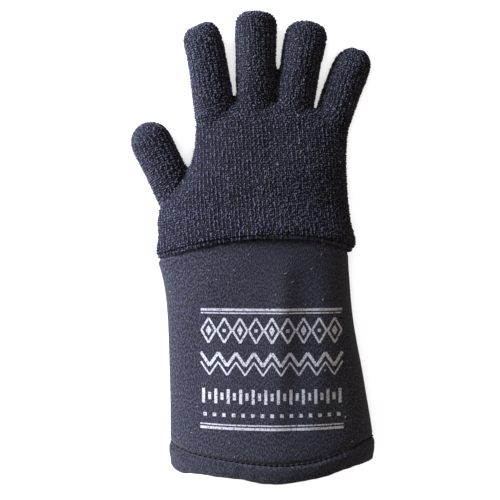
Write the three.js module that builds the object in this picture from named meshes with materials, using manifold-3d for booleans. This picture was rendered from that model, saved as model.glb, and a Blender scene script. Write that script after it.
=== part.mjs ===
// A heat-resistant work glove: a thick terry-knit hand sewn over a flared cloth gauntlet cuff.
// It lies palm down on the plane z = 0, back of the hand up, fingers along +Y and thumb towards -X.
// Units are millimetres. The origin is on the underside of the wrist, where the glove rests.
import * as THREE from "three";
import Module from "manifold-3d";

const wasm = await Module();
wasm.setup();
const { degToRad, lerp } = THREE.MathUtils;

// Driving dimensions
const HAND_LENGTH = 192; // wrist line to the tip of the middle finger
const PALM_WIDTH = 123; // across the knuckles
const PALM_HEIGHT = 42; // thickest part of the palm as it lies
const FINGER_WIDTH = 32.5;
const FINGER_HEIGHT = 28;
const KNIT_WALL = 4; // doubled terry knit
const EDGE_ARCH = 13; // the knit's edge climbs this far towards the fingers over the back
const EDGE_DROP = 6; // and this far towards the cuff underneath
const EDGE_CLIMB = 2.4; // and its little finger side lies this much further up than mid-wrist
const CUFF_LENGTH = 165; // wrist line to the hem, at its sides
const CUFF_WIDTH = 161; // across the hem
const CUFF_HEIGHT = 58; // crest of the open hem above the surface
const CUFF_WALL = 2.4; // two layers of canvas
const LAP = 17; // length of cuff that runs up inside the knit
const HEM_DEPTH = 13.5; // turned-up band below the stitch line
const HEM_WALL = 4.2; // four layers of canvas
const HEM_SWELL = 0.5; // the hem stands this far proud of the cuff
const HEM_DIP = 12.5; // the hem hangs this far lower at its crest than at its sides
const HEM_DIP_BELOW = 6.2; // and this far lower in the middle of its underside
const WRIST_CREST = 13; // at the wrist the cuff's crest leans this far to the little finger side
const HEM_CREST = 3; // and this far at the hem
const FIT_GAP = 0.3; // clearance between pieces that are sewn together
const SINK = 3.5; // how deep a round section would reach below the surface it is flattened on
const HOLLOW_OVERRUN = 12; // how far the shape of the hand's hollow runs out past its lower edge

// Curves and steps
const SIDE_BULGE = 0.42; // height of the widest line of each section, as a share of its height
const PLUMP = 2.2; // exponent of a plump section; 2 is an ellipse
const CREST_SPREAD = 1.5; // exponent; higher keeps a crest's lean closer to the crest
const HEM_POINT = 1.85; // exponent; higher brings the dip of the hem to a sharper point
const HEM_POINT_SKEW = 0.65; // added to that exponent towards the little finger side
const TIP_TURN = 84; // degrees that a fingertip is rounded through before it is closed
const TIP_STEPS = 5; // sections that round off a fingertip
const SIDES = 40; // points round a section of the palm or the cuff
const FINGER_SIDES = 22;
const LAP_SECTIONS = 5; // how many of the palm's lowest sections the lap of the cuff follows

// Sections of the knitted hand from its lower edge to the knuckles. "along" is a share of
// HAND_LENGTH, "left", "right" and "crest" of PALM_WIDTH, "rise" of PALM_HEIGHT, "lip" of
// KNIT_WALL, and "arch" says how much of the lower edge's curve the section still follows.
const PALM_SECTIONS = [
  { along: -0.018, left: -0.622, right: 0.614, rise: 1.12, lip: 0.38, arch: 1.0, crest: 0.09 },
  { along: -0.01, left: -0.634, right: 0.63, rise: 1.155, lip: 0.08, arch: 1.0, crest: 0.09 },
  { along: 0.005, left: -0.641, right: 0.643, rise: 1.17, lip: 0, arch: 1.0, crest: 0.09 },
  { along: 0.035, left: -0.64, right: 0.641, rise: 1.155, lip: 0, arch: 0.95, crest: 0.085 },
  { along: 0.08, left: -0.64, right: 0.622, rise: 1.11, lip: 0, arch: 0.85, crest: 0.08 },
  { along: 0.125, left: -0.647, right: 0.611, rise: 1.07, lip: 0, arch: 0.7, crest: 0.07 },
  { along: 0.175, left: -0.635, right: 0.603, rise: 1.03, lip: 0, arch: 0.5, crest: 0.06 },
  { along: 0.235, left: -0.585, right: 0.595, rise: 1.0, lip: 0, arch: 0.3, crest: 0.05 },
  { along: 0.3, left: -0.495, right: 0.592, rise: 0.96, lip: 0, arch: 0.12, crest: 0.05 },
  { along: 0.36, left: -0.43, right: 0.592, rise: 0.91, lip: 0, arch: 0, crest: 0.04 },
  { along: 0.43, left: -0.403, right: 0.598, rise: 0.83, lip: 0, arch: 0, crest: 0.03 },
  { along: 0.5, left: -0.4, right: 0.606, rise: 0.745, lip: 0, arch: 0, crest: 0.02 },
  { along: 0.555, left: -0.395, right: 0.59, rise: 0.67, lip: 0, arch: 0, crest: 0 },
  { along: 0.6, left: -0.36, right: 0.53, rise: 0.6, lip: 0, arch: 0, crest: 0 },
  { along: 0.625, left: -0.3, right: 0.42, rise: 0.48, lip: 0, arch: 0, crest: 0 },
];

// The digits: index, middle, ring, little finger and thumb. "across" is a share of PALM_WIDTH,
// "root" and "tip" of HAND_LENGTH, measured on the digit's centre line, and "lean" is in degrees
// towards the little finger side. "width" is a share of FINGER_WIDTH, "rise" of FINGER_HEIGHT.
// "round" is the length of the rounded tip as a share of FINGER_WIDTH, and "blunt" its exponent.
const DIGITS = [
  { across: -0.255, root: 0.51, tip: 0.953, lean: -8.2, width: 1.01, rise: 0.98, round: 0.5, blunt: 2.3 },
  { across: -0.004, root: 0.5, tip: 1.0, lean: 0.3, width: 1.02, rise: 1.0, round: 0.38, blunt: 2.6 },
  { across: 0.215, root: 0.495, tip: 0.958, lean: 9.2, width: 1.05, rise: 0.98, round: 0.42, blunt: 2.5 },
  { across: 0.445, root: 0.458, tip: 0.843, lean: 19.8, width: 0.97, rise: 0.9, round: 0.55, blunt: 2.1 },
  { across: -0.438, root: 0.13, tip: 0.53, lean: -26.2, width: 1.05, rise: 0.96, round: 0.55, blunt: 2.1 },
];

// Sections along a digit's straight length: "along" is a share of it, "fill" of its width,
// "rise" of its height.
const DIGIT_STRETCH = [
  { along: 0.0, fill: 0.92, rise: 0.84 },
  { along: 0.14, fill: 1.03, rise: 0.96 },
  { along: 0.4, fill: 1.0, rise: 1.02 },
  { along: 0.7, fill: 0.98, rise: 1.02 },
  { along: 1.0, fill: 0.99, rise: 0.97 },
];

// Sections of the cuff below the knit. "along" is a share of CUFF_LENGTH below the wrist line.
// "left", "right" and "rise" are shares of the way from the knit's edge to the hem, and negative
// where the cuff draws in. "full" is the section's exponent: 2 is an ellipse, less is a ridge.
// "lift" is how far the underside is held off the surface, as a share of KNIT_WALL. "arch" says
// how much of the knit's edge curve a section follows, and "dip" how much of the hem's.
const CUFF_SECTIONS = [
  { along: 0.042, left: 0.08, right: -0.15, rise: -0.29, full: 2.15, lift: 1, arch: 0.9, dip: 0 },
  { along: 0.075, left: -0.05, right: -0.13, rise: -0.26, full: 2.1, lift: 0.75, arch: 0.6, dip: 0 },
  { along: 0.15, left: 0.31, right: -0.06, rise: -0.24, full: 2.05, lift: 0.3, arch: 0.42, dip: 0 },
  { along: 0.26, left: 0.6, right: 0.02, rise: -0.16, full: 2.0, lift: 0, arch: 0.18, dip: 0 },
  { along: 0.4, left: 0.76, right: 0.19, rise: 0.05, full: 1.9, lift: 0, arch: 0, dip: 0.06 },
  { along: 0.56, left: 0.86, right: 0.51, rise: 0.32, full: 1.82, lift: 0, arch: 0, dip: 0.34 },
  { along: 0.73, left: 0.98, right: 0.76, rise: 0.63, full: 1.76, lift: 0, arch: 0, dip: 0.64 },
];

// The cuff's section at its hem: "left" and "right" are shares of CUFF_WIDTH.
const HEM_SECTION = { left: -0.423, right: 0.577, full: 1.72 };

// Profile of the hem's outer and inner face, from the stitch line to the fold. "depth" is a share
// of HEM_DEPTH, "swell" of HEM_SWELL, and "turn" says how far through HEM_WALL the face lies.
const HEM_OUTER = [
  { depth: 0, swell: 0, turn: 0 },
  { depth: 0.14, swell: 1, turn: 0 },
  { depth: 0.72, swell: 1, turn: 0 },
  { depth: 0.93, swell: 0, turn: 0 },
  { depth: 1, swell: 0, turn: 0.35 },
];
const HEM_INNER = [
  { depth: 0, swell: 1, turn: 1 },
  { depth: 0.93, swell: 1, turn: 1 },
  { depth: 1, swell: 0, turn: 0.65 },
];

// One ring of points round a section, a rounded shape that is flattened on the surface below.
// A section has y, left, right, top, base, full, crest (how far its crest leans along +X) and
// bend, a function that gives how far each point is moved along Y. "inset" draws the same
// section that much smaller all round.
function sectionRing(section, inset, sides) {
  const centre = (section.left + section.right) / 2;
  const halfWidth = (section.right - section.left) / 2 - inset;
  const widest = section.base + (section.top - section.base) * SIDE_BULGE;
  const upper = section.top - widest - inset;
  const lower = widest - section.base + SINK - inset;
  const ring = [];
  for (let i = 0; i < sides; i++) {
    const turn = (2 * Math.PI * i) / sides;
    const cosine = Math.cos(turn);
    const sine = Math.sin(turn);
    const power = 2 / (sine > 0 ? section.full : PLUMP);
    const across = Math.sign(cosine) * Math.abs(cosine) ** power;
    const up = Math.sign(sine) * Math.abs(sine) ** power;
    const z = widest + up * (up > 0 ? upper : lower);
    const x = centre + across * halfWidth + section.crest * Math.max(0, up) ** CREST_SPREAD;
    const y = section.y + section.bend(sine, cosine);
    ring.push(new THREE.Vector3(x, y, Math.max(z, section.base + inset)));
  }
  return ring;
}

// Triangles between neighbouring rings of the same number of points. They face outwards where
// the rings follow each other towards +Y.
function joinRings(rings, sides) {
  const indices = [];
  for (let r = 0; r < rings - 1; r++) {
    for (let i = 0; i < sides; i++) {
      const j = (i + 1) % sides;
      const a = r * sides + i;
      const b = r * sides + j;
      const c = (r + 1) * sides + j;
      const d = (r + 1) * sides + i;
      indices.push(a, c, b, a, d, c);
    }
  }
  return indices;
}

function geometryOf(points, indices) {
  const geometry = new THREE.BufferGeometry().setFromPoints(points);
  return geometry.setIndex(indices);
}

// A closed mesh through a list of rings, each end closed by a fan to the ring's middle.
function closedLoft(rings) {
  const sides = rings[0].length;
  const points = rings.flat();
  const indices = joinRings(rings.length, sides);
  const middle = (ring) =>
    ring.reduce((sum, p) => sum.add(p), new THREE.Vector3()).divideScalar(sides);
  const start = points.push(middle(rings[0])) - 1;
  const end = points.push(middle(rings.at(-1))) - 1;
  const last = (rings.length - 1) * sides;
  for (let i = 0; i < sides; i++) {
    const j = (i + 1) % sides;
    indices.push(start, i, j, end, last + j, last + i);
  }
  return geometryOf(points, indices);
}

// A hollow tube, open at both ends. Its rings are listed towards -Y, outer and inner alike.
function openTube(outer, inner) {
  const sides = outer[0].length;
  const points = [...inner, ...[...outer].reverse()].flat();
  const rings = inner.length + outer.length;
  const indices = joinRings(rings + 1, sides).map((i) => i % points.length);
  return geometryOf(points, indices);
}

function solidFrom(geometry) {
  return new wasm.Manifold(
    new wasm.Mesh({
      numProp: 3,
      vertProperties: geometry.getAttribute("position").array,
      triVerts: new Uint32Array(geometry.index.array),
    }),
  );
}

function geometryFrom(solid) {
  const mesh = solid.getMesh();
  const geometry = new THREE.BufferGeometry();
  geometry.setAttribute("position", new THREE.BufferAttribute(mesh.vertProperties, 3));
  return geometry.setIndex(new THREE.BufferAttribute(mesh.triVerts, 1));
}

// The knitted hand

// How far the knit's lower edge is moved along Y, at a point round the wrist.
function edgeCurve(sine, cosine) {
  return cosine * EDGE_CLIMB + sine * sine * (sine > 0 ? EDGE_ARCH : -EDGE_DROP);
}

function palmSection(row) {
  return {
    y: row.along * HAND_LENGTH,
    left: row.left * PALM_WIDTH + row.lip * KNIT_WALL,
    right: row.right * PALM_WIDTH - row.lip * KNIT_WALL,
    top: row.rise * PALM_HEIGHT - row.lip * KNIT_WALL,
    base: row.lip * KNIT_WALL,
    full: PLUMP,
    crest: row.crest * PALM_WIDTH,
    bend: (sine, cosine) => row.arch * edgeCurve(sine, cosine),
  };
}

// The palm's outside. A ring inside the first one keeps the lower edge's rim square to the wall.
function palmOutside() {
  const rings = PALM_SECTIONS.map((row) => sectionRing(palmSection(row), 0, SIDES));
  const rim = sectionRing(palmSection(PALM_SECTIONS[0]), 2 * KNIT_WALL, SIDES);
  return closedLoft([rim, ...rings]);
}

// The palm's hollow. It has no lip, so that the wall thins from outside only.
function palmHollow() {
  const rings = PALM_SECTIONS.map((row) =>
    sectionRing(palmSection({ ...row, lip: 0 }), KNIT_WALL, SIDES),
  );
  const lowest = rings[0].map((p) => p.clone().setY(p.y - HOLLOW_OVERRUN));
  rings.at(-1).forEach((p) => p.setY(p.y - KNIT_WALL));
  return closedLoft([lowest, ...rings]);
}

// A digit's solid, drawn smaller by "inset". Its sections stand upright, square to its lean.
function digitLoft(digit, inset) {
  const lean = degToRad(digit.lean);
  const root = new THREE.Vector3(digit.across * PALM_WIDTH, digit.root * HAND_LENGTH, 0);
  const length = ((digit.tip - digit.root) * HAND_LENGTH) / Math.cos(lean);
  const width = digit.width * FINGER_WIDTH;
  const height = digit.rise * FINGER_HEIGHT;
  const tipRound = digit.round * FINGER_WIDTH;
  const straight = length - tipRound;
  const section = (y, row) => ({
    y,
    left: (-width * row.fill) / 2,
    right: (width * row.fill) / 2,
    top: height * row.rise,
    base: 0,
    full: PLUMP,
    crest: 0,
    bend: () => 0,
  });
  const rings = DIGIT_STRETCH.map((row) =>
    sectionRing(section(row.along * straight, row), inset, FINGER_SIDES),
  );
  // The rounded tip: its steps crowd together towards the end, where the outline turns fastest.
  const end = DIGIT_STRETCH.at(-1);
  for (let step = 1; step <= TIP_STEPS; step++) {
    const reach = Math.sin((step / TIP_STEPS) * degToRad(TIP_TURN));
    const shrink = (1 - reach ** digit.blunt) ** (1 / digit.blunt);
    const y = straight + reach * (tipRound - inset);
    const middle = new THREE.Vector3(0, y, (height * end.rise) / 2);
    const ring = sectionRing(section(y, end), inset, FINGER_SIDES);
    rings.push(ring.map((p) => p.sub(middle).multiplyScalar(shrink).add(middle)));
  }
  const place = new THREE.Matrix4()
    .makeTranslation(root)
    .multiply(new THREE.Matrix4().makeRotationZ(-lean));
  rings.flat().forEach((p) => p.applyMatrix4(place));
  return closedLoft(rings);
}

function handSolid(palm, inset) {
  return DIGITS.reduce(
    (solid, digit) => solid.add(solidFrom(digitLoft(digit, inset))),
    solidFrom(palm),
  );
}

function knitHand() {
  const outside = handSolid(palmOutside(), 0);
  const hollow = handSolid(palmHollow(), KNIT_WALL);
  return geometryFrom(outside.subtract(hollow));
}

// The cuff and its hem

// How far the hem is moved along Y: it hangs lower at its crest, and comes to a point there, more
// sharply on the little finger side.
function hemCurve(sine, cosine) {
  const share = Math.abs(sine) ** (HEM_POINT + HEM_POINT_SKEW * cosine);
  return -share * (sine > 0 ? HEM_DIP : HEM_DIP_BELOW);
}

function cuffSection(row) {
  const edge = palmSection({ ...PALM_SECTIONS[0], lip: 0 });
  return {
    y: -row.along * CUFF_LENGTH,
    left: lerp(edge.left, HEM_SECTION.left * CUFF_WIDTH, row.left),
    right: lerp(edge.right, HEM_SECTION.right * CUFF_WIDTH, row.right),
    top: lerp(edge.top, CUFF_HEIGHT, row.rise),
    base: row.lift * KNIT_WALL,
    full: row.full,
    crest: lerp(WRIST_CREST, HEM_CREST, row.along),
    bend: (sine, cosine) =>
      row.arch * edgeCurve(sine, cosine) + row.dip * hemCurve(sine, cosine),
  };
}

// The section at "depth" below the stitch line.
function hemSection(depth) {
  const along = (CUFF_LENGTH - HEM_DEPTH + depth) / CUFF_LENGTH;
  const full = HEM_SECTION.full;
  return cuffSection({ along, left: 1, right: 1, rise: 1, full, lift: 0, arch: 0, dip: along });
}

// Rings of the lap, the stretch of cuff inside the knit, from its upper end to the knit's edge.
function lapRings(inset) {
  const rows = PALM_SECTIONS.slice(0, LAP_SECTIONS);
  const rings = rows.map((row) =>
    sectionRing(palmSection({ ...row, lip: 0 }), KNIT_WALL + FIT_GAP + inset, SIDES),
  );
  // The last section lies further up than the lap reaches, so its ring is drawn back to LAP.
  const [below, top] = rings.slice(-2);
  const [low, high] = rows.slice(-2).map((row) => row.along * HAND_LENGTH);
  const edge = rows[0].along * HAND_LENGTH;
  const share = (edge + LAP - low) / (high - low);
  top.forEach((p, i) => p.copy(below[i].clone().lerp(p, share)));
  return rings.reverse();
}

function cuffRings(inset) {
  const body = CUFF_SECTIONS.map((row) => sectionRing(cuffSection(row), inset, SIDES));
  const seam = sectionRing(hemSection(-FIT_GAP / 2), inset, SIDES);
  return [...lapRings(inset), ...body, seam];
}

function cuff() {
  return openTube(cuffRings(0), cuffRings(CUFF_WALL));
}

// The folded hem: its outer face swells a little below the stitch line and turns in at the fold.
function cuffHem() {
  const ring = (row) => {
    const depth = lerp(FIT_GAP / 2, HEM_DEPTH, row.depth);
    const inset = row.turn * HEM_WALL - row.swell * HEM_SWELL;
    return sectionRing(hemSection(depth), inset, SIDES);
  };
  const outer = HEM_OUTER.map(ring);
  outer.flat().forEach((p) => p.setZ(Math.max(p.z, 0)));
  return openTube(outer, HEM_INNER.map(ring));
}

const PIECES = [
  { name: "knit_hand", geometry: knitHand(), color: 0x2b2a33, roughness: 0.95 },
  { name: "cuff", geometry: cuff(), color: 0x34323c, roughness: 0.9 },
  { name: "cuff_hem", geometry: cuffHem(), color: 0x302e38, roughness: 0.9 },
];

const glove = new THREE.Group();
for (const { name, geometry, color, roughness } of PIECES) {
  const material = new THREE.MeshStandardMaterial({ color, roughness, metalness: 0 });
  const mesh = new THREE.Mesh(geometry, material);
  mesh.name = name;
  glove.add(mesh);
}

export default glove;
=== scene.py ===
"""A heat-resistant work glove, lying palm down on a pale floor and seen from straight above.

The hand is a thick terry knit: a smooth ground of yarn with thousands of small loops that stand on
it in ribs. The gauntlet cuff is napped canvas with a turned-up hem, and carries a plain printed
ornament.
Everything is in metres, in the frame of the CAD part: +Y to the fingertips, +Z up.
"""

import math

import bmesh
import bpy
import numpy as np
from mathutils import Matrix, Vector, noise
from mathutils.bvhtree import BVHTree


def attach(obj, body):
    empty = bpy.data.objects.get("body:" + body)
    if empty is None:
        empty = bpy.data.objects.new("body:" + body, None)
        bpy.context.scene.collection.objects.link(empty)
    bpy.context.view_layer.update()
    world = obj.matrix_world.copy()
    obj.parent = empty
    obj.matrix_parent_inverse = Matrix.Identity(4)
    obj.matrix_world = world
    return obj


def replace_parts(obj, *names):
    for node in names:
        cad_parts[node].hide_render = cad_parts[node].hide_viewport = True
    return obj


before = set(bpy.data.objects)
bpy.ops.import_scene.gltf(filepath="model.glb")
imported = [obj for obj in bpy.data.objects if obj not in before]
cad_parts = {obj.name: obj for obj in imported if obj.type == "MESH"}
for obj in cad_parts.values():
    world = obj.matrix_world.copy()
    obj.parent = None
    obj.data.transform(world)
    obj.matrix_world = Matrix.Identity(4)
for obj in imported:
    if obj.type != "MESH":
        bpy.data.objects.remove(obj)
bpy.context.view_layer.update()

MM = 0.001

# Sizes and counts of the knit
WALE = 1.6 * MM  # spacing of the loops round the hand
COURSE = 1.85 * MM  # spacing of the loops along it
YARN = 0.5 * MM  # radius of the looped yarn
LOOP_LENGTH = 0.44 * MM  # half the length of a loop
LOOP_RISE = 0.72 * MM  # height of a loop's centre line over its feet
PILE = 0.65 * MM  # how far the loops stand proud of the ground
DIGIT_RIBS = 24  # ribs round a digit, three loops to each; a rib of the palm has two
GROUND_VOXEL = 1.5 * MM  # fineness of the ground's mesh
LOOP_STEPS = 4  # pieces along a loop's arch
LOOP_SIDES = 3  # sides of its yarn
FULL_ROOM = 6 * MM  # free way in front of a loop that stands at its full size
LEAST_ROOM = 0.22  # share of that way under which a loop is left out
WIDEST_STEP = 7.5 * WALE  # a course stays bare where its hits lie farther apart
REACH = 0.12  # longer than any ray inside the glove, and higher than its top
FLOOR_GAP = 0.05 * MM  # how far the lowest points keep off the floor
EDGE_COURSES = 3  # courses at the knit's lower edge whose loops stand straight out

# What chance does to each loop: the spread of its turn and of its lean in radians, of its place
# across and along the hand, and of its tone
SPREAD = {"turn": 0.7, "lean": 0.35, "across": 0.2 * MM, "along": 0.3 * MM, "tone": 0.16}
LOOP_SIZES = (0.78, 1.18)
LOOP_TONE = 0.74
PILE_GRAIN = 1.7 * MM  # size of the small hollows in the pile

# Soft dents of the knit: the size of the lumps, and how far they move it in millimetres
BROAD_DENTS, BROAD_DEPTH = 38 * MM, 1.3
SMALL_DENTS, SMALL_DEPTH = 15 * MM, 0.5
SWAY, SWAY_DEPTH = 30 * MM, 0.5

# The digits as they lie, in millimetres and degrees: where each one's axis starts, how far along
# the axis its tip is, how far short of the tip its rounding starts, its lean towards +X, and the
# height of the axis.
DIGITS = {
    "index": {"x": -31.4, "y": 97.9, "length": 85.9, "round": 14.5, "lean": -8.2, "mid": 13.5},
    "middle": {"x": -0.5, "y": 96.0, "length": 96.0, "round": 13.5, "lean": 0.3, "mid": 14.0},
    "ring": {"x": 26.4, "y": 95.0, "length": 90.0, "round": 13.5, "lean": 9.2, "mid": 13.5},
    "little": {"x": 54.7, "y": 87.9, "length": 78.5, "round": 14.5, "lean": 19.8, "mid": 12.5},
    "thumb": {"x": -53.9, "y": 25.0, "length": 85.6, "round": 15.0, "lean": -26.2, "mid": 13.5},
}

# Small moves of the fingertips from their plain round shape, of the knit between the fingers and of
# its lower corner: the place, how far round it the move reaches, and how far it goes towards +X and
# +Y. Millimetres.
TIP_MOVES = [
    {"x": 43, "y": 176, "reach": 22, "right": 2.2, "up": 0.0},
    {"x": 80, "y": 154, "reach": 20, "right": 2.0, "up": 1.2},
    {"x": 83, "y": 164, "reach": 3.2, "right": 0.0, "up": -2.6},
    {"x": -49, "y": 181, "reach": 4.5, "right": 0.0, "up": -1.4},
    {"x": -27, "y": 173, "reach": 10, "right": -1.3, "up": 0.0},
    {"x": -38, "y": 183, "reach": 6, "right": 0.8, "up": 0.8},
    {"x": -52, "y": 168, "reach": 9, "right": -1.4, "up": 0.0},
    {"x": 14, "y": 184, "reach": 9, "right": 0.7, "up": 0.7},
    {"x": -14, "y": 184, "reach": 9, "right": -0.6, "up": 0.7},
    {"x": 49.3, "y": 121, "reach": 5.5, "right": -1.5, "up": -7.0},
    {"x": -18.3, "y": 130, "reach": 5.0, "right": 1.0, "up": -4.5},
    {"x": 18.0, "y": 150, "reach": 8.0, "right": -0.6, "up": -7.2},
    {"x": -79, "y": -3, "reach": 8, "right": -1.5, "up": -0.6},
]


def activate(piece):
    """Selects this object alone and makes it the active one."""
    bpy.ops.object.select_all(action="DESELECT")
    piece.select_set(True)
    bpy.context.view_layer.objects.active = piece


def modify(piece, kind, **settings):
    """Adds a modifier with these settings and applies it."""
    modifier = piece.modifiers.new(kind.lower(), kind)
    for key, value in settings.items():
        setattr(modifier, key, value)
    activate(piece)
    bpy.ops.object.modifier_apply(modifier=modifier.name)


def copy_of_node(node, name):
    """A new object with a copy of the CAD node's mesh, its loose triangles merged."""
    piece = bpy.data.objects.new(name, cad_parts[node].data.copy())
    bpy.context.scene.collection.objects.link(piece)
    piece.data.materials.clear()
    activate(piece)
    bpy.ops.object.mode_set(mode="EDIT")
    bpy.ops.mesh.select_all(action="SELECT")
    bpy.ops.mesh.remove_doubles(threshold=0.01 * MM)
    flat_enough = math.radians(60)
    bpy.ops.mesh.tris_convert_to_quads(face_threshold=flat_enough, shape_threshold=flat_enough)
    bpy.ops.object.mode_set(mode="OBJECT")
    bpy.ops.mesh.customdata_custom_splitnormals_clear()
    return piece


def crease_corners(piece, angle):
    """Keeps the edges that are sharper than this angle sharp under a subdivision."""
    activate(piece)
    bpy.ops.object.mode_set(mode="EDIT")
    bpy.ops.mesh.select_all(action="DESELECT")
    bpy.ops.mesh.select_mode(type="EDGE")
    bpy.ops.mesh.edges_select_sharp(sharpness=math.radians(angle))
    bpy.ops.transform.edge_crease(value=0.85)
    bpy.ops.mesh.select_mode(type="VERT")
    bpy.ops.object.mode_set(mode="OBJECT")


def values_of(items, key, width=1, kind=float):
    """What each point, face or corner of a mesh holds under this key, so many numbers each."""
    values = np.empty(len(items) * width, kind)
    items.foreach_get(key, values)
    return values


def points_of(piece):
    """The piece's points as an array, one row each."""
    return values_of(piece.data.vertices, "co", 3).reshape(-1, 3)


def normals_of(piece):
    """The normals at the piece's points, one row each."""
    return values_of(piece.data.vertices, "normal", 3).reshape(-1, 3)


def move_points(piece, points):
    """Puts the piece's points at these places."""
    piece.data.vertices.foreach_set("co", points.ravel())
    piece.data.update()


def mesh_piece(name, points, faces):
    """A new smooth-shaded object of these points and faces."""
    mesh = bpy.data.meshes.new(name)
    mesh.from_pydata(points.tolist(), [], faces)
    mesh.update()
    piece = bpy.data.objects.new(name, mesh)
    bpy.context.scene.collection.objects.link(piece)
    smooth(piece)
    return piece


def smooth(piece):
    """Shades the whole piece smooth."""
    piece.data.polygons.foreach_set("use_smooth", [True] * len(piece.data.polygons))


def tree_of(piece):
    """A search tree over the piece's faces, for rays."""
    mesh = piece.data
    return BVHTree.FromPolygons([v.co for v in mesh.vertices], [p.vertices for p in mesh.polygons])


def met_from_above(tree, x, y):
    """What a ray straight down meets at this place, in millimetres: the point and its normal."""
    return tree.ray_cast(Vector((x * MM, y * MM, REACH)), Vector((0, 0, -1)))[:2]


def soft_noise(points, scale, seed):
    """Smooth noise between about -1 and 1 at each point; scale is the size of its lumps."""
    shift = Vector((seed, -seed, 2.0 * seed))
    return np.array([noise.noise(Vector(p) / scale + shift) for p in points])


def set_attribute(piece, name, values):
    """Stores one number for each of the piece's points, for its material."""
    attribute = piece.data.attributes.new(name, "FLOAT", "POINT")
    attribute.data.foreach_set("value", np.asarray(values, np.float32))


# The knitted hand


def knit_ground():
    """The knit's ground: the hand's wall without its loops, with soft dents where it lies slack."""
    piece = copy_of_node("knit_hand", "knit_ground")
    modify(piece, "REMESH", mode="VOXEL", voxel_size=GROUND_VOXEL)
    modify(piece, "SMOOTH", factor=0.5, iterations=4)
    modify(piece, "DISPLACE", strength=-PILE, mid_level=0.0)
    points = points_of(piece)
    upper = np.clip(points[:, 2] / (12 * MM), 0, 1)
    sag = soft_noise(points, BROAD_DENTS, 3.1) * BROAD_DEPTH * MM
    sag += soft_noise(points, SMALL_DENTS, 7.7) * SMALL_DEPTH * MM
    points[:, 2] += sag * upper
    points[:, 0] += soft_noise(points, SWAY, 11.3) * SWAY_DEPTH * MM
    for tip in TIP_MOVES:
        dx, dy = points[:, 0] / MM - tip["x"], points[:, 1] / MM - tip["y"]
        near = np.exp(-(dx**2 + dy**2) / tip["reach"] ** 2)
        points[:, 0] += tip["right"] * near * MM
        points[:, 1] += tip["up"] * near * MM
    move_points(piece, points)
    smooth(piece)
    return piece


def first_way_out(tree, origin, direction, reach):
    """Where a ray that starts inside the hand leaves its wall, or None beyond reach."""
    start = Vector(origin)
    gone = 0.0
    for _ in range(4):
        hit, normal, _, distance = tree.ray_cast(start, direction, reach - gone)
        if hit is None:
            return None
        if normal.dot(direction) > 0:
            return hit, normal
        gone += distance
        start = hit + direction * (0.05 * MM)
    return None


def ring_of_sites(tree, origins, directions, reach, count):
    """Places for loops along one course: the ray from each origin is followed out of the wall, and
    sites are spaced evenly along the line through the hits, and numbered. They are as many as
    count says, or a wale apart where it is None."""
    hits = [first_way_out(tree, o, d, reach) for o, d in zip(origins, directions)]
    places = [None if hit is None else np.array(hit[0]) for hit in hits]
    lengths = []
    for place, after in zip(places, places[1:] + places[:1]):
        lengths.append(0.0 if place is None or after is None else np.linalg.norm(after - place))
    spacing = sum(lengths) / count if count else WALE
    if spacing < 0.5 * WALE:
        return []
    sites = []
    travelled = 0.0
    for i, length in enumerate(lengths):
        if length == 0 or length > WIDEST_STEP:
            continue
        after = (i + 1) % len(places)
        while travelled < length:
            share = travelled / length
            place = places[i] * (1 - share) + places[after] * share
            normal = hits[i][1].lerp(hits[after][1], share).normalized()
            sites.append((place, np.array(normal), len(sites)))
            travelled += spacing
        travelled -= length
    return sites


RAYS = 150
TURNS = [2 * math.pi * i / RAYS for i in range(RAYS)]
TOP = RAYS // 4  # the turn that points straight up, where the palm's ribs are counted from
WRIST = (6 * MM, 15 * MM)  # X and Z of the line that rays start from at the knit's lower edge
OUTWARD = [Vector((math.cos(turn), 0, math.sin(turn))) for turn in TURNS]


def knit_edge():
    """How far up the hand the knit's lower edge lies, at each of the turns round the wrist."""
    piece = copy_of_node("knit_hand", "edge_finder")
    tree = tree_of(piece)
    bpy.data.objects.remove(piece)
    edge = []
    for out in OUTWARD:
        bare, covered = -20 * MM, 30 * MM
        for _ in range(12):
            middle = (bare + covered) / 2
            start = Vector((WRIST[0], middle, WRIST[1]))
            if tree.ray_cast(start, out, REACH)[0] is None:
                bare = middle
            else:
                covered = middle
        edge.append(covered)
    return edge


def palm_sites(tree, edge):
    """Loop sites round the palm, from the knit's lower edge to the roots of the fingers. Each
    course is counted both ways from the top, so that the ribs run straight along the hand."""
    sites = []
    top, low = 112 * MM, 1.5 * MM
    rows = int((top - low) / COURSE)
    for row in range(rows):
        y = low + row * COURSE
        arch = np.clip(1 - (y - 2 * MM) / (62 * MM), 0, 1)
        middle = Vector((WRIST[0] * (1 - y / top), 0, WRIST[1]))
        rays = [(middle + Vector((0, y + arch * up, 0)), out) for up, out in zip(edge, OUTWARD)]
        thumb_half = rays[TOP : 3 * TOP + 2]
        finger_half = rays[TOP::-1] + rays[: 3 * TOP : -1]
        for half, first in ((thumb_half, 0), (finger_half, 1)):
            for place, normal, number in ring_of_sites(tree, *zip(*half), REACH, None)[first:]:
                if region_of(place) != "palm":
                    continue
                if row < EDGE_COURSES:
                    normal = np.array((normal[0], 0.25 * normal[1], normal[2]))
                    normal /= np.linalg.norm(normal)
                sites.append((place, normal, np.array((0.0, 1.0, 0.0)), number % 2))
    return sites


def axis_of(digit):
    """The direction from the digit's root to its tip."""
    lean = math.radians(digit["lean"])
    return Vector((math.sin(lean), math.cos(lean), 0))


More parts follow.
